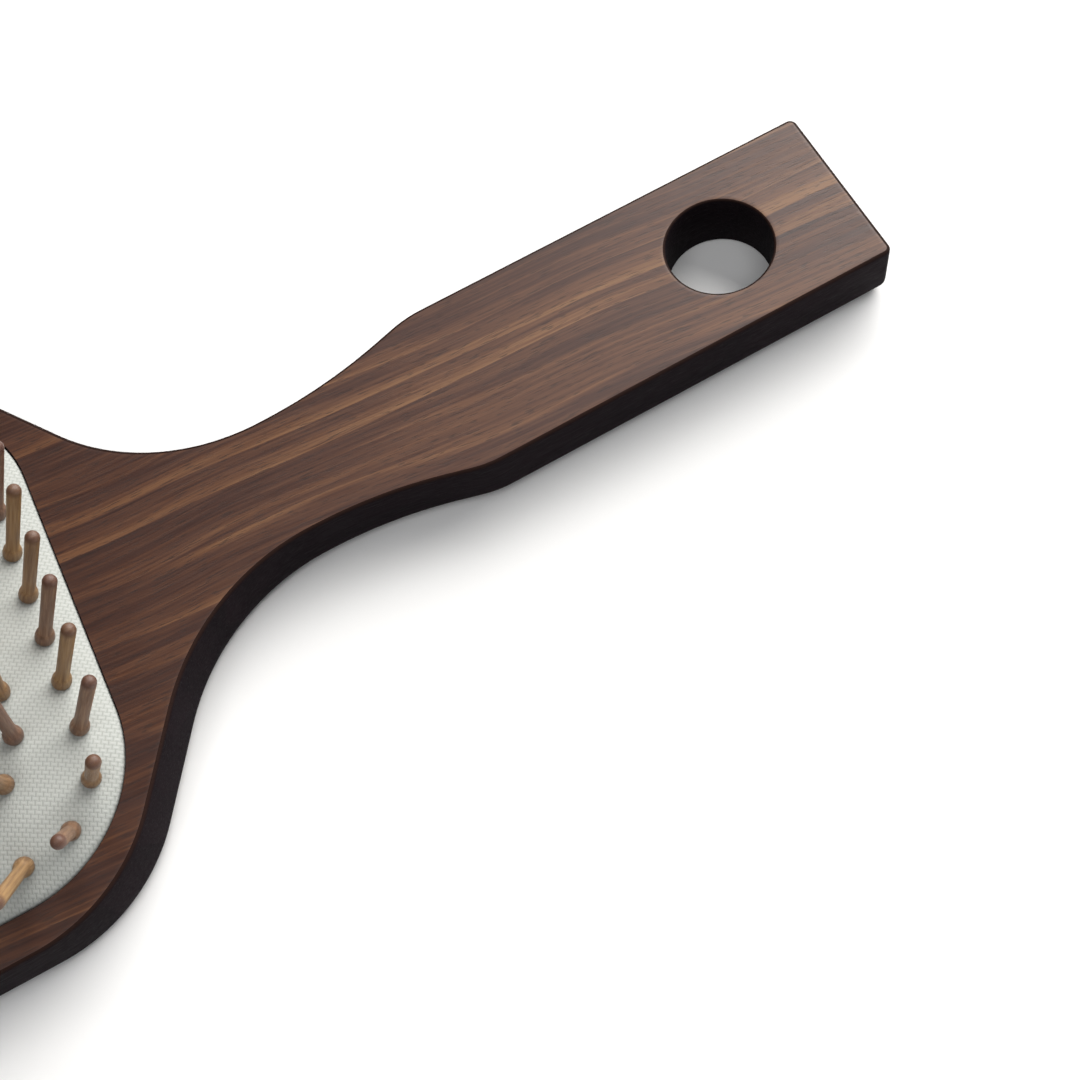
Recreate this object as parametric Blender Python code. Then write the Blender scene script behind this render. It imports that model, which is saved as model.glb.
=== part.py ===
"""Wooden paddle hairbrush with an air cushion and turned wooden pins.

The brush lies on its back with its pins up. X runs along it, with the handle at +X. Z = 0 is the
flat back, and the origin is under the middle of the wooden body. Lengths are written in
millimetres and turned into metres where meshes are made.

The wooden body has a pocket in its head. A domed rubber membrane sits in the pocket, held by its
bead in a groove. A woven facing lies over the membrane, and every pin stands in a hole through
both, held by its foot under the membrane and its collar over the facing.
"""

from math import atan2, cos, hypot, pi, radians, sin, tan

import bmesh
import bpy
from mathutils import Matrix, Vector

MM = 0.001
UP = Vector((0, 0, 1))
FIT_GAP = 0.3

# Wooden body.
BODY_LENGTH = 250.0
BOARD_THICKNESS = 10.5
FRONT_EDGE_BREAK = 0.45
BACK_EDGE_ROUND = 1.5
HEAD_HALF_WIDTH = 46.3
HEAD_CORNER_RADIUS = 25.0
HEAD_END_CROWN = 3.0
HEAD_END_RADIUS = 200.0
SHOULDER_X = -11.7
NECK_HALF_WIDTH = 10.0
NECK_HEAD_X = 14.2
NECK_HEAD_RADIUS = 34.0
NECK_GRIP_X = 42.6
NECK_GRIP_RADIUS = 75.0
GRIP_START_X = 58.3
GRIP_START_HALF_WIDTH = 14.4
GRIP_START_RADIUS = 12.0
GRIP_END_HALF_WIDTH = 14.0
GRIP_CORNER_RADIUS = 1.8
OUTLINE_STEP = 4.5
WIDE_ARC_STEP = 9.0
LEAST_STEPS_PER_RADIUS = 2.5

# Hanging hole and air vent.
HOLE_TO_END = 20.9
HOLE_RADIUS = 8.0
HOLE_EDGE_BREAK = 0.3
HOLE_SIDES = 32
VENT_X = -22.0
VENT_RADIUS = 1.0
VENT_SIDES = 12

# Pocket in the head, with the groove that holds the membrane.
POCKET_END_X = -3.0
POCKET_FAR_X = -118.5
POCKET_HALF_WIDTH = 40.4
POCKET_CORNER_RADIUS = 20.0
POCKET_FLOOR_Z = 3.8
GROOVE_LOW_Z = 6.4
GROOVE_HIGH_Z = 8.6
GROOVE_DEPTH = 1.5
CORNER_STEPS = 6

# Cushion: the facing's top surface is a dome over the pocket.
DOME_HEIGHT = 8.6
DOME_POWER = 3.4
CORNER_SHRINK = 0.45
FACING_THICKNESS = 0.5
FACING_EDGE_INSET = 0.35
MEMBRANE_THICKNESS = 1.6
MEMBRANE_WALL = 1.9
DOME_INSETS = (2.2, 5.0, 12.0, 19.5, 27.0, 34.5)
DOME_TOP_INSET = 38.5
HALVINGS = 40

# Pins, in rings from the rim inwards: inset from the pocket's edge, corner radius of the ring's
# path, pins in the ring, and every how many of them is a solid here.
PIN_RINGS = (
    (4.8, 12.0, 46, 2),
    (12.0, 11.5, 42, 3),
    (19.1, 9.0, 32, 4),
    (26.2, 6.5, 24, 6),
    (33.3, 4.0, 16, 4),
)
# The row along the middle: its length, pins in the row, and every how many is a solid here.
PIN_ROW = (34.6, 6, 5)
# How steeply the pins lean outwards, next to the slope of the dome under their ring.
LEAN = 1.05
# How far they fan out along and across the brush, next to that lean.
FAN_ALONG = 0.1
FAN_ACROSS = 0.35
# How much less steeply they lean at the corners of their ring.
CORNER_EASE = 0.2
PIN_SIDES = 8
PIN_RADIUS = 0.95
PIN_LENGTH = 16.3
PIN_TIP_RADIUS = 0.5
PIN_TIP_LENGTH = 0.7
COLLAR_RADIUS = 1.35
COLLAR_LOW = 0.4
COLLAR_WIDEST = 0.9
COLLAR_HIGH = 2.2
FOOT_RADIUS = 1.8
FOOT_HIGH = -3.2
FOOT_LOW = -4.3
CLEARANCE_SIDES = 6
CLEARANCE_LOW = -5.5
CLEARANCE_HIGH = 2.5

POCKET_CENTRE_X = (POCKET_END_X + POCKET_FAR_X) / 2
POCKET_HALF_LENGTH = (POCKET_END_X - POCKET_FAR_X) / 2


def clear_scene():
    for obj in list(bpy.data.objects):
        bpy.data.objects.remove(obj, do_unlink=True)


def principled(name, colour, roughness):
    material = bpy.data.materials.new(name)
    material.use_nodes = True
    shader = material.node_tree.nodes["Principled BSDF"]
    shader.inputs["Base Color"].default_value = (*colour, 1.0)
    shader.inputs["Roughness"].default_value = roughness
    shader.inputs["Metallic"].default_value = 0.0
    material.diffuse_color = (*colour, 1.0)
    return material


def dark_wood():
    return principled("dark_wood", (0.085, 0.040, 0.024), 0.55)


def pin_wood():
    return principled("pin_wood", (0.27, 0.15, 0.075), 0.6)


def pale_facing():
    return principled("woven_facing", (0.62, 0.64, 0.57), 0.9)


def black_rubber():
    return principled("rubber", (0.02, 0.02, 0.02), 0.7)


def solid(name, bm, material):
    """An object from a closed bmesh in millimetres, smooth but for its sharp edges."""
    bmesh.ops.scale(bm, vec=(MM, MM, MM), verts=bm.verts)
    bmesh.ops.recalc_face_normals(bm, faces=bm.faces)
    mesh = bpy.data.meshes.new(name)
    bm.to_mesh(mesh)
    bm.free()
    mesh.shade_smooth()
    mesh.set_sharp_from_angle(angle=radians(35))
    if material:
        mesh.materials.append(material)
    obj = bpy.data.objects.new(name, mesh)
    bpy.context.scene.collection.objects.link(obj)
    return obj


def cutter(name, bm):
    obj = solid(name, bm, None)
    obj.hide_render = True
    obj.display_type = "WIRE"
    return obj


def cut(obj, tool):
    modifier = obj.modifiers.new("cut by " + tool.name, "BOOLEAN")
    modifier.operation = "DIFFERENCE"
    modifier.solver = "EXACT"
    modifier.object = tool


def loft(bm, layers, close_ends=True):
    """Joins rings of (x, y, z) points, each with the same count, into a tube with flat ends."""
    rings = [[bm.verts.new(point) for point in layer] for layer in layers]
    for low, high in zip(rings, rings[1:]):
        for i in range(len(low)):
            j = (i + 1) % len(low)
            bm.faces.new((low[i], low[j], high[j], high[i]))
    if close_ends:
        bm.faces.new(reversed(rings[0]))
        bm.faces.new(rings[-1])


def circle(radius, sides, z, centre=(0.0, 0.0)):
    turns = [2 * pi * i / sides for i in range(sides)]
    return [(centre[0] + radius * cos(t), centre[1] + radius * sin(t), z) for t in turns]


def rounded_corner(before, corner, after, radius, step):
    """(x, y, normal_x, normal_y) along the arc that rounds a corner of an outline."""
    to_before = (Vector(before) - Vector(corner)).normalized()
    to_after = (Vector(after) - Vector(corner)).normalized()
    half = to_before.angle(to_after) / 2
    inward = (to_before + to_after).normalized()
    centre = Vector(corner) + inward * (radius / sin(half))
    # An outline that runs anticlockwise is hollow where it turns right.
    bulges = to_before.x * to_after.y - to_before.y * to_after.x < 0
    side = 1 if bulges else -1
    start = Vector(corner) + to_before * (radius / tan(half)) - centre
    sweep = side * (pi - 2 * half)
    count = max(2, round(abs(sweep) * radius / step))
    points = []
    for i in range(count + 1):
        arm = start.copy()
        arm.rotate(Matrix.Rotation(sweep * i / count, 2))
        point = centre + arm
        normal = arm.normalized() * side
        points.append((point.x, point.y, normal.x, normal.y))
    return points


def body_corners():
    """The body's outline as corners and their radii, anticlockwise from the handle's end."""
    end_angle = atan2(HEAD_END_CROWN, HEAD_HALF_WIDTH)
    far_x = -BODY_LENGTH / 2 - HEAD_END_RADIUS * (1 / cos(end_angle) - 1)
    upper = [
        (BODY_LENGTH / 2, GRIP_END_HALF_WIDTH, GRIP_CORNER_RADIUS),
        (GRIP_START_X, GRIP_START_HALF_WIDTH, GRIP_START_RADIUS),
        (NECK_GRIP_X, NECK_HALF_WIDTH, NECK_GRIP_RADIUS),
        (NECK_HEAD_X, NECK_HALF_WIDTH, NECK_HEAD_RADIUS),
        (SHOULDER_X, HEAD_HALF_WIDTH, HEAD_CORNER_RADIUS),
        (far_x + HEAD_END_CROWN, HEAD_HALF_WIDTH, HEAD_CORNER_RADIUS),
    ]
    lower = [(x, -y, radius) for x, y, radius in reversed(upper)]
    return upper + [(far_x, 0.0, HEAD_END_RADIUS)] + lower


def body_outline():
    corners = body_corners()
    outline = []
    for i, (x, y, radius) in enumerate(corners):
        before = corners[i - 1][:2]
        after = corners[(i + 1) % len(corners)][:2]
        step = min(OUTLINE_STEP, radius / LEAST_STEPS_PER_RADIUS)
        if radius >= NECK_GRIP_RADIUS:
            step = WIDE_ARC_STEP
        outline += rounded_corner(before, (x, y), after, radius, step)
    return outline


def make_body():
    """One board with eased edges, pocketed for the cushion and bored for hanging."""
    outline = body_outline()
    diagonal = BACK_EDGE_ROUND * (1 - cos(pi / 4))
    layers = (
        (0.0, BACK_EDGE_ROUND),
        (diagonal, diagonal),
        (BACK_EDGE_ROUND, 0.0),
        (BOARD_THICKNESS - FRONT_EDGE_BREAK, 0.0),
        (BOARD_THICKNESS, FRONT_EDGE_BREAK),
    )
    bm = bmesh.new()
    loft(bm, [[(x - nx * inset, y - ny * inset, z) for x, y, nx, ny in outline] for z, inset in layers])
    body = solid("wooden_body", bm, dark_wood())
    cut(body, pocket_cutter())
    cut(body, hole_cutter())
    cut(body, vent_cutter())
    return body


def corner_radius(inset):
    return POCKET_CORNER_RADIUS - CORNER_SHRINK * inset


def cushion_ring(inset, z):
    """A ring of points that runs inset from the pocket's edge, at height z."""
    radius = POCKET_CORNER_RADIUS - inset if inset < 0 else corner_radius(inset)
    arm_x = POCKET_HALF_LENGTH - inset - radius
    arm_y = POCKET_HALF_WIDTH - inset - radius
    points = []
    for quarter, (side_x, side_y) in enumerate(((1, 1), (-1, 1), (-1, -1), (1, -1))):
        for step in range(CORNER_STEPS + 1):
            angle = (quarter + step / CORNER_STEPS) * pi / 2
            x = POCKET_CENTRE_X + side_x * arm_x + radius * cos(angle)
            points.append((x, side_y * arm_y + radius * sin(angle), z))
    return points


def pocket_cutter():
    layers = (
        (0.0, POCKET_FLOOR_Z),
        (0.0, GROOVE_LOW_Z),
        (-GROOVE_DEPTH, GROOVE_LOW_Z),
        (-GROOVE_DEPTH, GROOVE_HIGH_Z),
        (0.0, GROOVE_HIGH_Z),
        (0.0, BOARD_THICKNESS + 2),
    )
    bm = bmesh.new()
    loft(bm, [cushion_ring(inset, z) for inset, z in layers])
    return cutter("pocket_cutter", bm)


def hole_cutter():
    centre = (BODY_LENGTH / 2 - HOLE_TO_END, 0.0)
    beyond = 1.0
    layers = (
        (HOLE_RADIUS + HOLE_EDGE_BREAK + beyond, -beyond),
        (HOLE_RADIUS, HOLE_EDGE_BREAK),
        (HOLE_RADIUS, BOARD_THICKNESS - HOLE_EDGE_BREAK),
        (HOLE_RADIUS + HOLE_EDGE_BREAK + beyond, BOARD_THICKNESS + beyond),
    )
    bm = bmesh.new()
    loft(bm, [circle(radius, HOLE_SIDES, z, centre) for radius, z in layers])
    return cutter("hole_cutter", bm)


def vent_cutter():
    bm = bmesh.new()
    heights = (-1.0, POCKET_FLOOR_Z + 1.0)
    loft(bm, [circle(VENT_RADIUS, VENT_SIDES, z, (VENT_X, 0.0)) for z in heights])
    return cutter("vent_cutter", bm)


def dome_z(inset):
    """Height of the facing's top at this inset from the pocket's edge."""
    share = 1 - (1 - inset / POCKET_HALF_WIDTH) ** DOME_POWER
    return BOARD_THICKNESS + DOME_HEIGHT * share


def inset_at(x, y):
    """The inset of the cushion ring that passes through a point of the pocket."""
    low, high = 0.0, DOME_TOP_INSET
    for _ in range(HALVINGS):
        inset = (low + high) / 2
        radius = corner_radius(inset)
        qx = abs(x - POCKET_CENTRE_X) - (POCKET_HALF_LENGTH - inset - radius)
        qy = abs(y) - (POCKET_HALF_WIDTH - inset - radius)
        outside = hypot(max(qx, 0), max(qy, 0)) + min(max(qx, qy), 0) - radius
        if outside > 0:
            high = inset
        else:
            low = inset
    return low


def dome_steepness(inset):
    """How fast the dome falls towards its edge at this inset from the pocket's edge."""
    share = 1 - inset / POCKET_HALF_WIDTH
    return DOME_HEIGHT * DOME_POWER / POCKET_HALF_WIDTH * share ** (DOME_POWER - 1)


def sheet(bm, drop, edge_inset, thickness, edge_profile=()):
    """A closed domed sheet. Its top lies drop below the facing's top."""
    insets = DOME_INSETS[::-1]
    under = [cushion_ring(s, dome_z(s) - drop - thickness) for s in insets]
    edge = [cushion_ring(s, z) for s, z in edge_profile]
    if not edge:
        edge = [cushion_ring(edge_inset, dome_z(edge_inset) - drop - thickness)]
    over = [cushion_ring(s, dome_z(s) - drop) for s in (edge_inset, *DOME_INSETS)]
    loft(bm, under + edge + over)


def make_facing(clearance):
    bm = bmesh.new()
    sheet(bm, 0.0, FACING_EDGE_INSET, FACING_THICKNESS)
    facing = solid("woven_facing", bm, pale_facing())
    cut(facing, clearance)


def make_membrane(clearance):
    """The rubber dome, with the wall and the bead that hold it in the pocket's groove."""
    bead_low = GROOVE_LOW_Z + FIT_GAP
    bead_high = GROOVE_HIGH_Z - FIT_GAP
    bead_tip = -GROOVE_DEPTH + FIT_GAP
    wall_inner = FIT_GAP + MEMBRANE_WALL
    edge_profile = (
        (wall_inner, bead_low),
        (bead_tip, bead_low),
        (bead_tip, bead_high),
        (FIT_GAP, bead_high),
    )
    bm = bmesh.new()
    sheet(bm, FACING_THICKNESS + FIT_GAP, FIT_GAP, MEMBRANE_THICKNESS, edge_profile)
    membrane = solid("rubber_membrane", bm, black_rubber())
    cut(membrane, clearance)


def ring_place(inset, radius, share):
    """A place at this share of the way round a ring, from the middle of its handle end.

    Returns x, y and the direction straight out of the ring there.
    """
    half_x = POCKET_HALF_LENGTH - inset
    half_y = POCKET_HALF_WIDTH - inset
    arm_x = half_x - radius
    arm_y = half_y - radius
    arc = radius * pi / 2
    stretches = (arm_y, arc, 2 * arm_x, arc, 2 * arm_y, arc, 2 * arm_x, arc, arm_y)
    left = share * sum(stretches)
    index = 0
    while left > stretches[index]:
        left -= stretches[index]
        index += 1
    turn = left / radius
    places = (
        (half_x, left),
        (arm_x + radius * cos(turn), arm_y + radius * sin(turn)),
        (arm_x - left, half_y),
        (-arm_x - radius * sin(turn), arm_y + radius * cos(turn)),
        (-half_x, arm_y - left),
        (-arm_x - radius * cos(turn), -arm_y - radius * sin(turn)),
        (-arm_x + left, -half_y),
        (arm_x + radius * sin(turn), -arm_y - radius * cos(turn)),
        (half_x, -arm_y + left),
    )
    x, y = places[index]
    heading = index // 2 * pi / 2
    if index % 2:
        heading += turn
    return POCKET_CENTRE_X + x, y, Vector((cos(heading), sin(heading)))


def pin_matrix(x, y, outward, steepness):
    """Stands a pin at a point of the facing, leaning outwards and fanned out a little more."""
    ease = 1 - CORNER_EASE * abs(2 * outward.x * outward.y)
    fan_x = FAN_ALONG * (x - POCKET_CENTRE_X) / POCKET_HALF_LENGTH
    fan_y = FAN_ACROSS * y / POCKET_HALF_WIDTH
    lean = (outward + Vector((fan_x, fan_y))).normalized() * steepness * ease
    axis = Vector((lean.x, lean.y, 1))
    place = Vector((x, y, dome_z(inset_at(x, y)))) * MM
    return Matrix.Translation(place) @ UP.rotation_difference(axis).to_matrix().to_4x4()


def ring_matrices(inset, radius, count, every):
    steepness = LEAN * dome_steepness(inset)
    places = [ring_place(inset, radius, i / count) for i in range(0, count, every)]
    return [pin_matrix(x, y, outward, steepness) for x, y, outward in places]


def row_matrices(length, count, every):
    """The pins of the middle row stand upright."""
    start = POCKET_CENTRE_X + length / 2
    along = [start - length * i / (count - 1) for i in range(0, count, every)]
    return [pin_matrix(x, 0.0, Vector((0, 0)), 0.0) for x in along]


def pin_sets():
    """Each ring's name and the matrices of its pins, then those of the middle row."""
    sets = [(f"ring{n}", ring_matrices(*ring)) for n, ring in enumerate(PIN_RINGS, start=1)]
    sets.append(("row", row_matrices(*PIN_ROW)))
    return sets


def clearance_cutter():
    """The holes that the pins stand in, as one set of six-sided plugs."""
    bm = bmesh.new()
    flat_radius = (PIN_RADIUS + FIT_GAP) / cos(pi / CLEARANCE_SIDES)
    for _, matrices in pin_sets():
        for matrix in matrices:
            turn = matrix.to_3x3()
            place = matrix.translation / MM
            layers = []
            for height in (CLEARANCE_LOW, CLEARANCE_HIGH):
                plug = circle(flat_radius, CLEARANCE_SIDES, height)
                layers.append([place + turn @ Vector(point) for point in plug])
            loft(bm, layers)
    return cutter("pin_clearance_cutter", bm)


def pin_mesh():
    """A turned pin: foot, shank, collar, shaft and blunt tip, standing on z = 0."""
    profile = (
        (FOOT_RADIUS, FOOT_LOW),
        (FOOT_RADIUS, FOOT_HIGH),
        (PIN_RADIUS, FOOT_HIGH),
        (PIN_RADIUS, COLLAR_LOW),
        (COLLAR_RADIUS, COLLAR_WIDEST),
        (PIN_RADIUS, COLLAR_HIGH),
        (PIN_RADIUS, PIN_LENGTH - PIN_TIP_LENGTH),
        (PIN_TIP_RADIUS, PIN_LENGTH),
    )
    bm = bmesh.new()
    loft(bm, [circle(radius, PIN_SIDES, z) for radius, z in profile])
    first = solid("pin", bm, pin_wood())
    mesh = first.data
    bpy.data.objects.remove(first)
    return mesh


def make_pins():
    """One object for each pin, with each set under an empty that marks its line of travel."""
    mesh = pin_mesh()
    for name, matrices in pin_sets():
        travel = bpy.data.objects.new(f"{name}_travel", None)
        travel.location = (POCKET_CENTRE_X * MM, 0, BOARD_THICKNESS * MM)
        bpy.context.scene.collection.objects.link(travel)
        bpy.context.view_layer.update()
        for index, matrix in enumerate(matrices, start=1):
            pin = bpy.data.objects.new(f"pin_{name}_{index:02d}", mesh)
            bpy.context.scene.collection.objects.link(pin)
            pin.parent = travel
            pin.matrix_world = matrix


def main():
    clear_scene()
    make_body()
    clearance = clearance_cutter()
    make_membrane(clearance)
    make_facing(clearance)
    make_pins()


main()
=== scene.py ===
"""The looks of a wooden paddle hairbrush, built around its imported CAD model.

The brush lies on its back with its pins up and its handle at +X. Shapes are worked out in
millimetres and turned into metres where meshes are made. The sizes repeat those of the CAD.
"""

import random
from math import atan2, cos, exp, hypot, pi, radians, sin

import bmesh
import bpy
from mathutils import Matrix, Quaternion, Vector


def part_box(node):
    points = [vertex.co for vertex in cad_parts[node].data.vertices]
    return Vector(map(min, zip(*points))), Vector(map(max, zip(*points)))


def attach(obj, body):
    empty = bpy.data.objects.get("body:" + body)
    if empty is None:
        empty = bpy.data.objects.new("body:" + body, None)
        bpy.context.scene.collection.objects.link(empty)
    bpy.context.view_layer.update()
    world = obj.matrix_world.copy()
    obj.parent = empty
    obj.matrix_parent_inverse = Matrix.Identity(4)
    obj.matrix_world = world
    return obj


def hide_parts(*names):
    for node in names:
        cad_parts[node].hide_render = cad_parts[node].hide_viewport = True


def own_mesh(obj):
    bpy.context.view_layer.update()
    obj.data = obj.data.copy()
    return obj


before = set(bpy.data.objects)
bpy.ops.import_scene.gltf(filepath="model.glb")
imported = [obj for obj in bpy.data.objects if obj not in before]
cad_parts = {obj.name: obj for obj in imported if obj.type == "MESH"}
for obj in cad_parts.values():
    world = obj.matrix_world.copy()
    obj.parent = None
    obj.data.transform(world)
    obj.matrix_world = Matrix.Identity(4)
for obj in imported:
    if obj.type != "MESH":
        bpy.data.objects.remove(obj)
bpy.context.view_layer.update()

MM = 0.001
UP = Vector((0, 0, 1))

# Wooden body.
BODY_LENGTH = 250.0
BOARD_THICKNESS = 10.5
FRONT_EDGE_ROUND = 0.5
BACK_EDGE_ROUND = 2.6
HEAD_HALF_WIDTH = 46.3
HEAD_CORNER_RADIUS = 25.0
HEAD_END_CROWN = 3.0
HEAD_END_RADIUS = 200.0
SHOULDER_X = -11.7
NECK_HALF_WIDTH = 10.0
NECK_HEAD_X = 14.2
NECK_HEAD_RADIUS = 34.0
NECK_GRIP_X = 42.6
NECK_GRIP_RADIUS = 75.0
GRIP_START_X = 58.3
GRIP_START_HALF_WIDTH = 14.4
GRIP_START_RADIUS = 18.0
GRIP_END_HALF_WIDTH = 14.0
GRIP_CORNER_RADIUS = 1.2
OUTLINE_STEP = 1.0
LEAST_ARC_STEPS = 8
FLAT_MARGIN = 0.5
FLAT_NORMAL = 0.99

# Hanging hole and air vent.
HOLE_TO_END = 20.9
HOLE_RADIUS = 8.0
HOLE_EDGE_ROUND = 0.35
HOLE_SIDES = 96
VENT_X = -22.0
VENT_RADIUS = 1.0
VENT_EDGE_BREAK = 0.25
VENT_SIDES = 32

# Pocket in the head, with the groove that holds the membrane.
POCKET_END_X = -3.0
POCKET_FAR_X = -118.5
POCKET_HALF_WIDTH = 40.4
POCKET_CORNER_RADIUS = 20.0
POCKET_FLOOR_Z = 3.8
POCKET_EDGE_BREAK = 0.1
GROOVE_LOW_Z = 6.4
GROOVE_HIGH_Z = 8.6
GROOVE_DEPTH = 1.5
POCKET_CENTRE_X = (POCKET_END_X + POCKET_FAR_X) / 2
POCKET_HALF_LENGTH = (POCKET_END_X - POCKET_FAR_X) / 2
POCKET_POINTS = 320

# Cushion.
DOME_HEIGHT = 8.6
DOME_POWER = 3.4
CORNER_SHRINK = 0.45
FACING_THICKNESS = 0.5
MEMBRANE_THICKNESS = 1.6
MEMBRANE_WALL = 1.9
FIT_GAP = 0.3
DIMPLE_DEPTH = 0.22
DIMPLE_RADIUS = 2.1
DIMPLE_REACH = 2.5 * DIMPLE_RADIUS
FACING_POINTS = 480
FACING_RINGS = 47
MEMBRANE_RINGS = 31
CENTRE_GAP = 0.2

# Pins: inset from the pocket's edge, corner radius of the ring's path, and pins in the ring.
PIN_RINGS = (
    (4.8, 12.0, 46),
    (12.0, 11.5, 42),
    (19.1, 9.0, 32),
    (26.2, 6.5, 24),
    (33.3, 4.0, 16),
)
PIN_ROW = (34.6, 6)
LEAN = 1.05
FAN_ALONG = 0.1
FAN_ACROSS = 0.35
CORNER_EASE = 0.2
PIN_RADIUS = 0.95
PIN_END_RADIUS = 1.02
PIN_LENGTH = 16.3
PIN_TIP_LENGTH = 1.0
COLLAR_RADIUS = 1.38
COLLAR_HEIGHT = 2.4
FOOT_RADIUS = 1.8
FOOT_HIGH = -3.2
FOOT_LOW = -4.3
PIN_SIDES = 20
PIN_VARIANTS = 5
COLLAR_STEPS = 12
SHAFT_STEPS = 5
TIP_STEPS = 7
CAD_PIN_REACH = 1.5  # how near its middle a CAD pin is taken for the same pin

# Grain, growth rings and weave: angles in degrees, widths in millimetres.
GRAIN_TURN = 4.5
RING_WIDTH = 7.0
WEAVE_TURN = 27.3
YARN_LENGTH = 0.46
YARN_WIDTH = 0.58

# Stage, light and camera, in metres, watts and degrees. The sky fades between two heights.
FLOOR_RADIUS = 1.3
LIT_POINT = (0.03, 0.0, 0.0)
WINDOW_PLACE = (2.66, 1.65, 2.1)
WINDOW_SIZE = (3.9, 3.3)
WINDOW_POWER = 315.0
WINDOW_COLOUR = (1.0, 0.98, 0.95)
CEILING_PLACE = (-0.4, -0.9, 2.9)
CEILING_SIZE = (2.5, 2.5)
CEILING_POWER = 34.0
SKY_FADE = (0.05, 0.40)
SKY_STRENGTH = (1.0, 0.1)
SKY_COLOUR = (0.94, 0.97, 1.0, 1.0)
CAMERA_PLACE = (0.0481, -0.1046, 0.1917)
CAMERA_TARGET = (0.0595, -0.0281, 0.0105)
CAMERA_ROLL = -20.3
CAMERA_LENS = 47.4


# Shapes.


def arc(centre, radius, start, end, steps):
    """Points (x, z) along an arc, from one angle in degrees to another."""
    turns = [radians(start + (end - start) * i / steps) for i in range(steps + 1)]
    return [(centre[0] + radius * cos(t), centre[1] + radius * sin(t)) for t in turns]


def piece(name, bm, material, sharp=40.0):
    """An object from a bmesh in millimetres, smooth but for its sharp edges."""
    bmesh.ops.scale(bm, vec=(MM, MM, MM), verts=bm.verts)
    bmesh.ops.remove_doubles(bm, verts=bm.verts, dist=0.002 * MM)
    bmesh.ops.recalc_face_normals(bm, faces=bm.faces)
    mesh = bpy.data.meshes.new(name)
    bm.to_mesh(mesh)
    bm.free()
    mesh.shade_smooth()
    mesh.set_sharp_from_angle(angle=radians(sharp))
    mesh.materials.append(material)
    obj = bpy.data.objects.new(name, mesh)
    bpy.context.scene.collection.objects.link(obj)
    return obj


def add_rings(bm, layers):
    """Joins rings of points, each with the same count, and returns the first and last ring."""
    rings = [[bm.verts.new(point) for point in layer] for layer in layers]
    for low, high in zip(rings, rings[1:]):
        for i in range(len(low)):
            j = (i + 1) % len(low)
            bm.faces.new((low[i], low[j], high[j], high[i]))
    return rings[0], rings[-1]


def fill_between(bm, rings):
    """Fills a flat face bounded by rings, the first of them the outer one."""
    edges = []
    for ring in rings:
        for i, vert in enumerate(ring):
            ahead = ring[(i + 1) % len(ring)]
            edges.append(bm.edges.get((vert, ahead)) or bm.edges.new((vert, ahead)))
    bmesh.ops.triangle_fill(bm, use_beauty=True, use_dissolve=False, edges=edges)


def circle(radius, sides, z, centre=(0.0, 0.0)):
    turns = [2 * pi * i / sides for i in range(sides)]
    return [(centre[0] + radius * cos(t), centre[1] + radius * sin(t), z) for t in turns]


# Wooden body.


def rounded_corner(before, corner, after, radius, inset):
    """Points (x, y) along the arc that rounds a corner of an outline, moved inwards by inset."""
    to_before = (Vector(before) - Vector(corner)).normalized()
    to_after = (Vector(after) - Vector(corner)).normalized()
    half = to_before.angle(to_after) / 2
    bisector = (to_before + to_after).normalized()
    side = 1 if to_before.x * to_after.y - to_before.y * to_after.x < 0 else -1
    least = 0.01
    moved = max(radius - side * inset, least)
    centre = Vector(corner) + bisector * ((side * inset + moved) / sin(half))
    normal = Vector((to_before.y, -to_before.x)) * side
    if normal.dot(bisector) > 0:
        normal = -normal
    sweep = side * (pi - 2 * half)
    count = max(LEAST_ARC_STEPS, round(abs(sweep) * radius / OUTLINE_STEP))
    points = []
    for i in range(count + 1):
        arm = normal.copy()
        arm.rotate(Matrix.Rotation(sweep * i / count, 2))
        points.append(centre + arm * moved)
    return points


def body_corners():
    """The body's outline as corners and their radii, anticlockwise from the handle's end."""
    end_angle = atan2(HEAD_END_CROWN, HEAD_HALF_WIDTH)
    far_x = -BODY_LENGTH / 2 - HEAD_END_RADIUS * (1 / cos(end_angle) - 1)
    upper = [
        (BODY_LENGTH / 2, GRIP_END_HALF_WIDTH, GRIP_CORNER_RADIUS),
        (GRIP_START_X, GRIP_START_HALF_WIDTH, GRIP_START_RADIUS),
        (NECK_GRIP_X, NECK_HALF_WIDTH, NECK_GRIP_RADIUS),
        (NECK_HEAD_X, NECK_HALF_WIDTH, NECK_HEAD_RADIUS),
        (SHOULDER_X, HEAD_HALF_WIDTH, HEAD_CORNER_RADIUS),
        (far_x + HEAD_END_CROWN, HEAD_HALF_WIDTH, HEAD_CORNER_RADIUS),
    ]
    lower = [(x, -y, radius) for x, y, radius in reversed(upper)]
    return upper + [(far_x, 0.0, HEAD_END_RADIUS)] + lower


def body_ring(inset, z):
    corners = body_corners()
    ring = []
    for i, (x, y, radius) in enumerate(corners):
        before = corners[i - 1][:2]
        after = corners[(i + 1) % len(corners)][:2]
        ring += [(p.x, p.y, z) for p in rounded_corner(before, (x, y), after, radius, inset)]
    return ring


def ring_radius(inset):
    """The corner radius of the cushion's contour at this inset from the pocket's edge."""
    if inset < 0:
        return POCKET_CORNER_RADIUS - inset
    return min(POCKET_CORNER_RADIUS - CORNER_SHRINK * inset, POCKET_HALF_WIDTH - inset)


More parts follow.
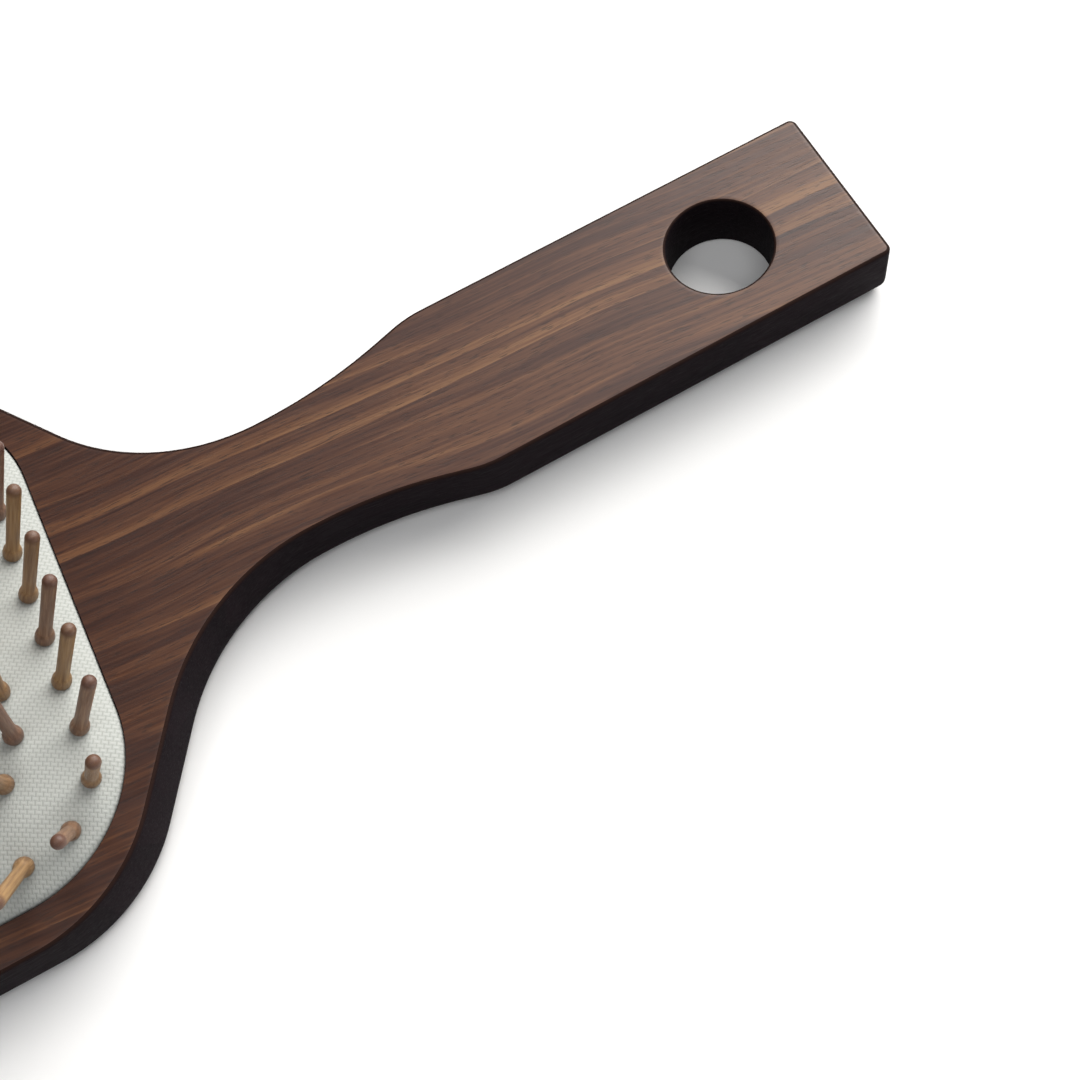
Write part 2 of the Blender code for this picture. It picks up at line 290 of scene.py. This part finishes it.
def ring_place(inset, radius, share):
    """A place at this share of the way round a ring, from the middle of its handle end.

    Returns x, y and the direction straight out of the ring there.
    """
    half_x = POCKET_HALF_LENGTH - inset
    half_y = POCKET_HALF_WIDTH - inset
    arm_x = half_x - radius
    arm_y = half_y - radius
    quarter = radius * pi / 2
    stretches = (arm_y, quarter, 2 * arm_x, quarter, 2 * arm_y, quarter, 2 * arm_x, quarter, arm_y)
    left = share * sum(stretches)
    index = 0
    while left > stretches[index] and index < len(stretches) - 1:
        left -= stretches[index]
        index += 1
    turn = left / radius
    places = (
        (half_x, left),
        (arm_x + radius * cos(turn), arm_y + radius * sin(turn)),
        (arm_x - left, half_y),
        (-arm_x - radius * sin(turn), arm_y + radius * cos(turn)),
        (-half_x, arm_y - left),
        (-arm_x - radius * cos(turn), -arm_y - radius * sin(turn)),
        (-arm_x + left, -half_y),
        (arm_x + radius * sin(turn), -arm_y - radius * cos(turn)),
        (half_x, -arm_y + left),
    )
    x, y = places[index]
    heading = index // 2 * pi / 2
    if index % 2:
        heading += turn
    return POCKET_CENTRE_X + x, y, Vector((cos(heading), sin(heading)))


def cushion_ring(inset, z, count=POCKET_POINTS):
    """A contour of the cushion at height z, or at the height that z gives for each point."""
    places = [ring_place(inset, ring_radius(inset), i / count) for i in range(count)]
    if callable(z):
        return [(x, y, z(x, y)) for x, y, _ in places]
    return [(x, y, z) for x, y, _ in places]


def make_body(face_wood, side_wood):
    """One board with eased edges, pocketed for the cushion and bored for hanging."""
    top = BOARD_THICKNESS
    back = arc((BACK_EDGE_ROUND, BACK_EDGE_ROUND), BACK_EDGE_ROUND, 270, 180, 7)
    front = arc((FRONT_EDGE_ROUND, top - FRONT_EDGE_ROUND), FRONT_EDGE_ROUND, 180, 90, 4)
    side = [(BACK_EDGE_ROUND + FLAT_MARGIN, 0.0), *back, *front]
    side.append((FRONT_EDGE_ROUND + FLAT_MARGIN, top))
    hole_low = arc((HOLE_RADIUS + HOLE_EDGE_ROUND, HOLE_EDGE_ROUND), HOLE_EDGE_ROUND, 270, 180, 4)
    hole_high = [(r, top - z) for r, z in reversed(hole_low)]
    wide = HOLE_RADIUS + HOLE_EDGE_ROUND + FLAT_MARGIN
    bore = [(wide, 0.0), *hole_low, *hole_high, (wide, top)]
    pocket = (
        (-POCKET_EDGE_BREAK - FLAT_MARGIN, top),
        (-POCKET_EDGE_BREAK, top),
        (0.0, top - POCKET_EDGE_BREAK),
        (0.0, GROOVE_HIGH_Z),
        (-GROOVE_DEPTH, GROOVE_HIGH_Z),
        (-GROOVE_DEPTH, GROOVE_LOW_Z),
        (0.0, GROOVE_LOW_Z),
        (0.0, POCKET_FLOOR_Z),
    )
    vent = (
        (VENT_RADIUS + VENT_EDGE_BREAK, 0.0),
        (VENT_RADIUS, VENT_EDGE_BREAK),
        (VENT_RADIUS, POCKET_FLOOR_Z),
    )
    hole_centre = (BODY_LENGTH / 2 - HOLE_TO_END, 0.0)
    bm = bmesh.new()
    outer_low, outer_high = add_rings(bm, [body_ring(inset, z) for inset, z in side])
    bore_low, bore_high = add_rings(bm, [circle(r, HOLE_SIDES, z, hole_centre) for r, z in bore])
    pocket_high, pocket_low = add_rings(bm, [cushion_ring(inset, z) for inset, z in pocket])
    vent_low, vent_high = add_rings(bm, [circle(r, VENT_SIDES, z, (VENT_X, 0.0)) for r, z in vent])
    fill_between(bm, (outer_high, pocket_high, bore_high))
    fill_between(bm, (outer_low, bore_low, vent_low))
    fill_between(bm, (pocket_low, vent_high))
    body = piece("paddle_body", bm, face_wood)
    body.data.materials.append(side_wood)
    # Faces that are not flat take the second material, the sides' painted shade.
    for polygon in body.data.polygons:
        if abs(polygon.normal.z) < FLAT_NORMAL:
            polygon.material_index = 1
    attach(body, "brush_body")
    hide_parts("wooden_body")
    return body


# Cushion.


def dome_z(inset):
    """Height of the facing's top at this inset from the pocket's edge."""
    share = 1 - (1 - inset / POCKET_HALF_WIDTH) ** DOME_POWER
    return BOARD_THICKNESS + DOME_HEIGHT * share


def inset_at(x, y):
    """The inset of the contour that passes through a point of the pocket."""
    low, high = 0.0, POCKET_HALF_WIDTH - 0.1
    for _ in range(30):
        inset = (low + high) / 2
        radius = ring_radius(inset)
        qx = abs(x - POCKET_CENTRE_X) - (POCKET_HALF_LENGTH - inset - radius)
        qy = abs(y) - (POCKET_HALF_WIDTH - inset - radius)
        outside = hypot(max(qx, 0), max(qy, 0)) + min(max(qx, qy), 0) - radius
        if outside > 0:
            high = inset
        else:
            low = inset
    return low


def dome_steepness(inset):
    """How fast the dome falls towards its edge at this inset from the pocket's edge."""
    share = 1 - inset / POCKET_HALF_WIDTH
    return DOME_HEIGHT * DOME_POWER / POCKET_HALF_WIDTH * share ** (DOME_POWER - 1)


def facing_top(inset, places):
    """The height of the cloth, which dips a little round each pin."""
    base = dome_z(inset)

    def height(x, y):
        dip = 0.0
        for px, py in places:
            apart = hypot(x - px, y - py)
            if apart < DIMPLE_REACH:
                dip += exp(-((apart / DIMPLE_RADIUS) ** 2))
        return base - DIMPLE_DEPTH * min(dip, 1.0)

    return height


def make_facing(material, places):
    """The cloth: a stretched dome whose edge turns down into the gap beside the wood."""
    start = 1.4
    span = POCKET_HALF_WIDTH - (start + CENTRE_GAP)
    insets = [start + span * i / (FACING_RINGS - 1) for i in range(FACING_RINGS)]
    # The rim as (inset, height above the dome).
    rim_top = [(0.2, -0.8), (0.2, -0.5), (0.3, -0.2), (0.6, -0.04), (1.0, 0.0)]
    rim_under = [(0.65, -1.0), (0.8, -0.65), (1.1, -0.52)]
    under = [
        [(x, y, z - FACING_THICKNESS) for x, y, z in cushion_ring(s, dome_z(s), FACING_POINTS)]
        for s in reversed(insets)
    ]
    turned = [cushion_ring(s, dome_z(s) + drop, FACING_POINTS) for s, drop in reversed(rim_under)]
    edge = [cushion_ring(s, dome_z(s) + drop, FACING_POINTS) for s, drop in rim_top]
    over = [cushion_ring(s, facing_top(s, places), FACING_POINTS) for s in insets]
    bm = bmesh.new()
    first, last = add_rings(bm, under + turned + edge + over)
    fill_between(bm, [first])
    fill_between(bm, [last])
    facing = piece("woven_cloth", bm, material, sharp=60)
    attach(facing, "brush_body")
    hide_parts("woven_facing")
    return facing


def make_membrane(material):
    """The rubber dome, with the wall and the bead that hold it in the pocket's groove."""
    drop = FACING_THICKNESS + FIT_GAP
    start = 1.6
    span = POCKET_HALF_WIDTH - (start + CENTRE_GAP)
    insets = [start + span * i / (MEMBRANE_RINGS - 1) for i in range(MEMBRANE_RINGS)]
    under_start = 2.4
    under_drop = drop + MEMBRANE_THICKNESS
    under = [cushion_ring(s, dome_z(s) - under_drop) for s in reversed(insets) if s > under_start]
    bead_low = GROOVE_LOW_Z + FIT_GAP
    bead_high = GROOVE_HIGH_Z - FIT_GAP
    bead_tip = -GROOVE_DEPTH + FIT_GAP
    wall = FIT_GAP + MEMBRANE_WALL
    ease = 0.3
    profile = (
        (wall, bead_low + 2.2),
        (wall, bead_low + ease),
        (wall - ease, bead_low),
        (bead_tip + ease, bead_low),
        (bead_tip, bead_low + ease),
        (bead_tip, bead_high - ease),
        (bead_tip + ease, bead_high),
        (FIT_GAP, bead_high),
        (FIT_GAP, dome_z(FIT_GAP) - drop - 0.6),
        (FIT_GAP + 0.35, dome_z(0.6) - drop - 0.15),
    )
    edge = [cushion_ring(s, z) for s, z in profile]
    over = [cushion_ring(s, dome_z(s) - drop) for s in insets]
    bm = bmesh.new()
    first, last = add_rings(bm, under + edge + over)
    fill_between(bm, [first])
    fill_between(bm, [last])
    membrane = piece("rubber_dome", bm, material, sharp=50)
    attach(membrane, "brush_body")
    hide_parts("rubber_membrane")
    return membrane


def declare_cushion(facing, membrane):
    """Gives the cloth and the rubber each a mesh of their own."""
    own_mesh(facing)
    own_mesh(membrane)


# Pins.


def pin_matrix(x, y, outward, steepness):
    """Stands a pin at a point of the facing, leaning outwards and fanned out a little more."""
    ease = 1 - CORNER_EASE * abs(2 * outward.x * outward.y)
    fan_x = FAN_ALONG * (x - POCKET_CENTRE_X) / POCKET_HALF_LENGTH
    fan_y = FAN_ACROSS * y / POCKET_HALF_WIDTH
    lean = (outward + Vector((fan_x, fan_y))).normalized() * steepness * ease
    axis = Vector((lean.x, lean.y, 1))
    place = Vector((x, y, dome_z(inset_at(x, y)))) * MM
    return Matrix.Translation(place) @ UP.rotation_difference(axis).to_matrix().to_4x4()


def pin_sets():
    """Each set's CAD name, its body, and the matrices of its pins."""
    sets = []
    for n, (inset, radius, count) in enumerate(PIN_RINGS, start=1):
        steepness = LEAN * dome_steepness(inset)
        places = [ring_place(inset, radius, i / count) for i in range(count)]
        matrices = [pin_matrix(x, y, outward, steepness) for x, y, outward in places]
        sets.append((f"ring{n}", f"pins_ring_{n}", matrices))
    length, count = PIN_ROW
    start = POCKET_CENTRE_X + length / 2
    along = [start - length * i / (count - 1) for i in range(count)]
    matrices = [pin_matrix(x, 0.0, Vector((0, 0)), 0.0) for x in along]
    sets.append(("row", "pins_middle_row", matrices))
    return sets


def pin_profile(dice):
    """(radius, height) from the foot up to the tip, each pin a little different."""
    collar_radius = COLLAR_RADIUS * dice.uniform(0.97, 1.03)
    collar_height = COLLAR_HEIGHT * dice.uniform(0.95, 1.05)
    length = PIN_LENGTH + dice.uniform(-0.12, 0.12)
    end_radius = PIN_END_RADIUS * dice.uniform(0.97, 1.02)
    ease = 0.25
    profile = [
        (FOOT_RADIUS - ease, FOOT_LOW),
        (FOOT_RADIUS, FOOT_LOW + ease),
        (FOOT_RADIUS, FOOT_HIGH - ease),
        (FOOT_RADIUS - ease, FOOT_HIGH),
        (PIN_RADIUS, FOOT_HIGH),
        (PIN_RADIUS, -0.3),
    ]
    for i in range(COLLAR_STEPS + 1):
        rise = i / COLLAR_STEPS
        swell = sin(pi * rise**0.66) ** 0.55 if 0 < rise < 1 else 0.0
        radius = PIN_RADIUS + (collar_radius - PIN_RADIUS) * swell
        profile.append((radius, -0.1 + collar_height * rise))
    neck = collar_height + 0.3
    for i in range(1, SHAFT_STEPS + 1):
        rise = i / SHAFT_STEPS
        radius = PIN_RADIUS + (end_radius - PIN_RADIUS) * rise**2
        profile.append((radius, neck + (length - PIN_TIP_LENGTH - neck) * rise))
    for i in range(1, TIP_STEPS + 1):
        turn = radians(90 * i / (TIP_STEPS + 0.4))
        profile.append((end_radius * cos(turn) ** 0.85, length + PIN_TIP_LENGTH * (sin(turn) - 1)))
    return profile, length


def pin_mesh(name, dice, material):
    profile, length = pin_profile(dice)
    bm = bmesh.new()
    first, last = add_rings(bm, [circle(radius, PIN_SIDES, z) for radius, z in profile])
    for ring, z in ((first, FOOT_LOW), (last, length)):
        pole = bm.verts.new((0, 0, z))
        for i in range(PIN_SIDES):
            bm.faces.new((ring[i], ring[(i + 1) % PIN_SIDES], pole))
    made = piece(name, bm, material, sharp=50)
    mesh = made.data
    bpy.data.objects.remove(made)
    return mesh


def make_pins(material):
    dice = random.Random(7)
    meshes = [pin_mesh(f"pin_{n}", dice, material) for n in range(PIN_VARIANTS)]
    cad_pins = {name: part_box(name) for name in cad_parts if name.startswith("pin_")}
    for label, body, matrices in pin_sets():
        centres = {}
        for name, (low, high) in cad_pins.items():
            if name.startswith(f"pin_{label}_"):
                centres[name] = (low + high) / 2
        for index, matrix in enumerate(matrices, start=1):
            pin = bpy.data.objects.new(f"turned_pin_{label}_{index:02d}", dice.choice(meshes))
            bpy.context.scene.collection.objects.link(pin)
            spin = Matrix.Rotation(dice.uniform(0, 2 * pi), 4, "Z")
            wobble = Matrix.Rotation(radians(dice.gauss(0, 0.7)), 4, "X")
            pin.matrix_world = matrix @ wobble @ spin
            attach(pin, body)
            middle = matrix @ Vector((0, 0, (PIN_LENGTH + FOOT_LOW) / 2 * MM))
            stood_for = [n for n, c in centres.items() if (c - middle).length < CAD_PIN_REACH * MM]
            if stood_for:
                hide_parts(*stood_for)


# Materials.


class Look:
    """A Principled material, with short ways to add nodes to it."""

    def __init__(self, name, **sockets):
        self.material = bpy.data.materials.new(name)
        self.material.use_nodes = True
        self.tree = self.material.node_tree
        self.shader = self.tree.nodes["Principled BSDF"]
        for socket, value in sockets.items():
            self.shader.inputs[socket.replace("_", " ")].default_value = value

    def node(self, kind, *values, **settings):
        """Adds a node, feeds its first inputs with values, and returns it."""
        made = self.tree.nodes.new(kind)
        for name, value in settings.items():
            setattr(made, name, value)
        for socket, value in zip(made.inputs, values):
            self.feed(socket, value)
        return made

    def feed(self, socket, value):
        if isinstance(value, bpy.types.NodeSocket):
            self.tree.links.new(value, socket)
        elif value is not None:
            socket.default_value = value

    def math(self, operation, *values):
        return self.node("ShaderNodeMath", *values, operation=operation).outputs[0]

    def place(self, turn=0.0):
        """Object coordinates in millimetres, turned about Z by an angle in degrees."""
        place = self.node("ShaderNodeTexCoord").outputs["Object"]
        mapping = self.node("ShaderNodeMapping", place)
        mapping.inputs["Scale"].default_value = (1000, 1000, 1000)
        mapping.inputs["Rotation"].default_value = (0, 0, radians(turn))
        return mapping.outputs[0]

    def stretch(self, vector, *factors):
        return self.node("ShaderNodeVectorMath", vector, factors, operation="MULTIPLY").outputs[0]

    def warp(self, vector, scale, amount):
        """Shifts a vector by smooth noise of this scale, up to about half of amount each way."""
        noise = self.node("ShaderNodeTexNoise", noise_dimensions="3D")
        self.feed(noise.inputs["Vector"], vector)
        noise.inputs["Scale"].default_value = scale
        noise.inputs["Detail"].default_value = 1.0
        centred = self.node(
            "ShaderNodeVectorMath", noise.outputs["Color"], (0.5, 0.5, 0.5), operation="SUBTRACT"
        ).outputs[0]
        shift = self.node("ShaderNodeVectorMath", centred, (amount,) * 3, operation="MULTIPLY").outputs[0]
        return self.node("ShaderNodeVectorMath", vector, shift, operation="ADD").outputs[0]

    def noise(self, vector, detail=2.0, roughness=0.5):
        made = self.node("ShaderNodeTexNoise", noise_dimensions="3D")
        self.feed(made.inputs["Vector"], vector)
        made.inputs["Scale"].default_value = 1.0
        made.inputs["Detail"].default_value = detail
        made.inputs["Roughness"].default_value = roughness
        return made.outputs[0]

    def remap(self, value, low, high, to_low=0.0, to_high=1.0):
        made = self.node("ShaderNodeMapRange", value, low, high, to_low, to_high)
        return made.outputs[0]

    def ramp(self, value, *stops):
        """Colours at stops, as (position, colour)."""
        made = self.node("ShaderNodeValToRGB", value)
        ramp = made.color_ramp
        while len(ramp.elements) < len(stops):
            ramp.elements.new(1.0)
        for element, (position, colour) in zip(ramp.elements, stops):
            element.position = position
            element.color = (*colour, 1.0)
        return made.outputs[0]

    def mix(self, share, first, second, blend="MIX"):
        made = self.node("ShaderNodeMix", data_type="RGBA", blend_type=blend)
        self.feed(made.inputs["Factor"], share)
        for name, colour in (("A", first), ("B", second)):
            if isinstance(colour, tuple):
                colour = (*colour, 1.0)
            socket = [s for s in made.inputs if s.name == name and s.type == "RGBA"][0]
            self.feed(socket, colour)
        return [s for s in made.outputs if s.type == "RGBA"][0]

    def bump(self, height, distance, normal=None):
        """Distance is the height of the relief in millimetres."""
        made = self.node("ShaderNodeBump")
        made.inputs["Strength"].default_value = 1.0
        made.inputs["Distance"].default_value = distance * MM
        self.feed(made.inputs["Height"], height)
        self.feed(made.inputs["Normal"], normal)
        return made.outputs[0]

    def finish(self, colour=None, roughness=None, normal=None):
        self.feed(self.shader.inputs["Base Color"], colour)
        self.feed(self.shader.inputs["Roughness"], roughness)
        self.feed(self.shader.inputs["Normal"], normal)
        return self.material


def wood_tones(look):
    """How light the wood is, from its growth rings and streaks, then its fibres and open pores."""
    place = look.warp(look.place(GRAIN_TURN), 0.02, 4.0)
    across = look.node("ShaderNodeSeparateXYZ", place).outputs[1]
    sway = look.noise(look.stretch(place, 0.006, 0.06, 0.03), 2.0, 0.5)
    ring = look.math("MULTIPLY_ADD", sway, 3.0, look.math("MULTIPLY", across, 1 / RING_WIDTH))
    share = look.math("FRACT", ring)
    late = look.ramp(
        share,
        (0.0, (0.95,) * 3),
        (0.20, (0.80,) * 3),
        (0.42, (0.46,) * 3),
        (0.70, (0.20,) * 3),
        (0.94, (0.08,) * 3),
        (1.0, (0.85,) * 3),
    )
    chance = look.node("ShaderNodeTexWhiteNoise", noise_dimensions="1D")
    look.feed(chance.inputs["W"], look.math("FLOOR", ring))
    strength = look.remap(chance.outputs["Value"], 0.0, 1.0, 0.35, 1.0)
    rings = look.math("MULTIPLY", late, strength)
    streaks = look.remap(look.noise(look.stretch(place, 0.014, 0.6, 0.3), 3.0, 0.6), 0.32, 0.68)
    lines = look.remap(look.noise(look.stretch(place, 0.03, 1.9, 1.0), 2.0, 0.6), 0.32, 0.68)
    fibres = look.noise(look.stretch(place, 0.09, 3.4, 2.2), 2.0, 0.6)
    pores = look.remap(look.noise(look.stretch(place, 0.4, 4.5, 4.0), 1.0, 0.5), 0.58, 0.68)
    tone = look.math("MULTIPLY_ADD", streaks, 0.22, look.math("MULTIPLY", rings, 0.56))
    tone = look.math("MULTIPLY_ADD", lines, 0.24, tone)
    tone = look.math("MULTIPLY_ADD", look.remap(fibres, 0.3, 0.7), 0.12, tone)
    return tone, fibres, pores


def facing_up(look):
    """How much the surface faces up or down rather than sideways."""
    normal = look.node("ShaderNodeNewGeometry").outputs["Normal"]
    return look.math("ABSOLUTE", look.node("ShaderNodeSeparateXYZ", normal).outputs[2])


def dark_wood():
    """Oiled dark wood, with painted shade that darkens and reddens it from the handle towards the head.
    """
    look = Look("dark_wood_grain")
    tone, fibres, pores = wood_tones(look)
    grain = look.ramp(
        tone,
        (0.12, (0.027, 0.0098, 0.0072)),
        (0.34, (0.056, 0.0212, 0.0125)),
        (0.56, (0.106, 0.0470, 0.0232)),
        (0.80, (0.185, 0.0960, 0.0440)),
    )
    along = look.node("ShaderNodeSeparateXYZ", look.place()).outputs[0]
    # Painted shade: the colour is multiplied darker and redder towards the head and left paler towards
    # the handle, standing in for the light's fall-off along the board.
    lengthwise_painted_light = look.remap(along, -15.0, 55.0)
    grain = look.mix(1.0, grain, look.mix(lengthwise_painted_light, (0.57, 0.43, 0.36), (0.96, 0.88, 0.83)), "MULTIPLY")
    grain = look.mix(look.math("MULTIPLY", pores, 0.6), grain, (0.018, 0.008, 0.006))
    relief = look.math("MULTIPLY_ADD", pores, -0.7, look.math("MULTIPLY", fibres, 0.5))
    roughness = look.remap(fibres, 0.25, 0.75, 0.40, 0.54)
    return look.finish(grain, roughness, look.bump(relief, 0.014))


def painted_shade_sides():
    """The sides of the board and of its hole, dull and near black with painted shade, warmer and less
    dark where the edges turn up.
    """
    look = Look("painted_shade_side_wood", Specular_IOR_Level=0.07)
    tone, fibres, pores = wood_tones(look)
    # Painted shade: the sides are coloured near black, and less dark where they turn up towards the top
    # face.
    side = look.mix(tone, (0.0032, 0.0014, 0.0027), (0.0100, 0.0046, 0.0070))
    upturned_less_shade = look.remap(facing_up(look), 0.1, 0.9)
    side = look.mix(upturned_less_shade, side, (0.019, 0.0085, 0.0062))
    relief = look.math("MULTIPLY_ADD", pores, -0.7, look.math("MULTIPLY", fibres, 0.5))
    return look.finish(side, look.remap(fibres, 0.25, 0.75, 0.6, 0.8), look.bump(relief, 0.04))


def pin_wood():
    """Turned light wood, from golden to reddish, darker at the end grain of the tips, with painted shade
    darkening each collar towards the cloth.
    """
    look = Look("turned_pin_wood")
    place = look.place()
    chance = look.node("ShaderNodeObjectInfo").outputs["Random"]
    apart = look.node("ShaderNodeCombineXYZ", look.math("MULTIPLY", chance, 90.0)).outputs[0]
    shifted = look.node("ShaderNodeVectorMath", place, apart, operation="ADD").outputs[0]
    streaks = look.noise(look.stretch(shifted, 2.2, 2.2, 0.12), 3.0, 0.6)
    fibres = look.noise(look.stretch(shifted, 9.0, 9.0, 0.5), 1.0, 0.5)
    golden = look.ramp(
        streaks,
        (0.25, (0.160, 0.086, 0.036)),
        (0.50, (0.262, 0.152, 0.064)),
        (0.75, (0.380, 0.240, 0.106)),
    )
    reddish = look.ramp(
        streaks,
        (0.25, (0.098, 0.048, 0.030)),
        (0.50, (0.175, 0.094, 0.060)),
        (0.75, (0.275, 0.165, 0.106)),
    )
    wood = look.mix(look.remap(chance, 0.1, 0.9), golden, reddish)
    height = look.node("ShaderNodeSeparateXYZ", place).outputs[2]
    ragged = look.math("MULTIPLY_ADD", look.math("SUBTRACT", streaks, 0.5), 1.2, height)
    tip = look.remap(ragged, PIN_LENGTH - 1.8, PIN_LENGTH - 0.5)
    wood = look.mix(look.math("MULTIPLY", tip, 0.8), wood, (0.065, 0.022, 0.014))
    # Painted shade: the collar is darkened towards its foot, where it meets the cloth.
    low = look.remap(height, COLLAR_HEIGHT, 0.0)
    wood = look.mix(look.math("MULTIPLY", low, 0.45), wood, (0.070, 0.033, 0.019))
    roughness = look.remap(fibres, 0.3, 0.7, 0.42, 0.58)
    return look.finish(wood, roughness, look.bump(fibres, 0.025))


def woven_cloth():
    """A fine plain weave of off-white yarn, with painted shade in the gaps between its yarns."""
    look = Look("off_white_weave", Sheen_Weight=0.25, Sheen_Roughness=0.5)
    place = look.warp(look.place(WEAVE_TURN), 0.35, 0.16)
    yarns = look.stretch(place, 1 / YARN_LENGTH, 1 / YARN_WIDTH, 1.0)
    parts = look.node("ShaderNodeSeparateXYZ", yarns)
    along, across = parts.outputs[0], parts.outputs[1]
    row = look.math("FLOOR", across)
    phase = look.math("MULTIPLY", look.math("ADD", along, row), pi)
    over = look.math("MULTIPLY_ADD", look.math("SINE", phase), 0.5, 0.5)
    weft = look.math("ABSOLUTE", look.math("SINE", look.math("MULTIPLY", across, pi)))
    shifted = look.math("MULTIPLY", look.math("ADD", along, 0.5), pi)
    warp = look.math("ABSOLUTE", look.math("SINE", shifted))
    under = look.math("MULTIPLY", look.math("SUBTRACT", 1.0, over), look.math("MULTIPLY", warp, 0.8))
    height = look.math("MULTIPLY_ADD", over, weft, under)
    yarn = look.noise(look.stretch(place, 0.5, 1.6, 1.0), 2.0, 0.6)
    fuzz = look.noise(look.stretch(place, 7.0, 7.0, 7.0), 1.0, 0.6)
    # Painted shade: the colour follows the weave's height, darker in the gaps between yarns, with real
    # tone from the yarns and their fuzz added.
    shade = look.math("MULTIPLY_ADD", look.math("SUBTRACT", yarn, 0.5), 0.35, height)
    shade = look.math("MULTIPLY_ADD", look.math("SUBTRACT", fuzz, 0.5), 0.2, shade)
    colour = look.ramp(
        shade,
        (0.05, (0.312, 0.328, 0.304)),
        (0.50, (0.372, 0.388, 0.366)),
        (0.95, (0.415, 0.428, 0.408)),
    )
    return look.finish(colour, look.remap(fuzz, 0.2, 0.8, 0.8, 0.95), look.bump(height, 0.045))


def black_rubber():
    look = Look("black_rubber")
    place = look.place()
    cloud = look.noise(look.stretch(place, 0.5, 0.5, 0.5), 3.0, 0.6)
    dust = look.noise(look.stretch(place, 4.0, 4.0, 4.0), 2.0, 0.6)
    colour = look.mix(cloud, (0.012, 0.012, 0.012), (0.028, 0.027, 0.026))
    return look.finish(colour, look.remap(dust, 0.2, 0.8, 0.55, 0.75), look.bump(dust, 0.03))


def pale_floor():
    look = Look("pale_floor", Roughness=0.9)
    cloud = look.noise(look.stretch(look.place(), 0.004, 0.004, 0.004), 2.0, 0.5)
    return look.finish(look.mix(cloud, (0.86, 0.86, 0.86), (0.88, 0.88, 0.88)))


# Stage, light and camera.


def make_floor():
    bpy.ops.mesh.primitive_circle_add(vertices=128, radius=FLOOR_RADIUS, fill_type="NGON")
    floor = bpy.context.object
    floor.name = "floor"
    floor.data.materials.append(pale_floor())


def aimed(obj, place, target, roll=0.0):
    obj.location = place
    direction = Vector(target) - Vector(place)
    obj.rotation_mode = "QUATERNION"
    obj.rotation_quaternion = direction.to_track_quat("-Z", "Y") @ Quaternion((0, 0, 1), radians(roll))


def area_light(name, place, target, size, power, colour=(1, 1, 1)):
    light = bpy.data.lights.new(name, "AREA")
    light.shape = "RECTANGLE"
    light.size, light.size_y = size
    light.energy = power
    light.color = colour
    obj = bpy.data.objects.new(name, light)
    bpy.context.scene.collection.objects.link(obj)
    aimed(obj, place, target)
    return obj


def make_light():
    """A wide soft window beyond the handle, a weak ceiling, and a sky that fades above the horizon."""
    area_light("window", WINDOW_PLACE, LIT_POINT, WINDOW_SIZE, WINDOW_POWER, WINDOW_COLOUR)
    area_light("ceiling", CEILING_PLACE, LIT_POINT, CEILING_SIZE, CEILING_POWER)
    world = bpy.data.worlds.new("studio_sky")
    world.use_nodes = True
    nodes, links = world.node_tree.nodes, world.node_tree.links
    sky = nodes["Background"]
    parts = nodes.new("ShaderNodeSeparateXYZ")
    links.new(nodes.new("ShaderNodeTexCoord").outputs["Generated"], parts.inputs[0])
    fade = nodes.new("ShaderNodeMapRange")
    for socket, value in zip(fade.inputs[1:5], SKY_FADE + SKY_STRENGTH):
        socket.default_value = value
    links.new(parts.outputs[2], fade.inputs[0])
    links.new(fade.outputs[0], sky.inputs["Strength"])
    sky.inputs["Color"].default_value = SKY_COLOUR
    bpy.context.scene.world = world


def make_camera():
    """The camera looks down on the handle from in front, turned so that it runs up to the right."""
    data = bpy.data.cameras.new("camera")
    data.lens = CAMERA_LENS
    data.sensor_width = 36.0
    data.clip_start = 0.005
    camera = bpy.data.objects.new("camera", data)
    bpy.context.scene.collection.objects.link(camera)
    aimed(camera, CAMERA_PLACE, CAMERA_TARGET, CAMERA_ROLL)
    bpy.context.scene.camera = camera


def main():
    make_camera()
    make_light()
    make_floor()
    make_body(dark_wood(), painted_shade_sides())
    places = [m.translation.xy / MM for _, _, matrices in pin_sets() for m in matrices]
    facing = make_facing(woven_cloth(), places)
    membrane = make_membrane(black_rubber())
    declare_cushion(facing, membrane)
    make_pins(pin_wood())
    bpy.context.scene.view_settings.view_transform = "Standard"


main()
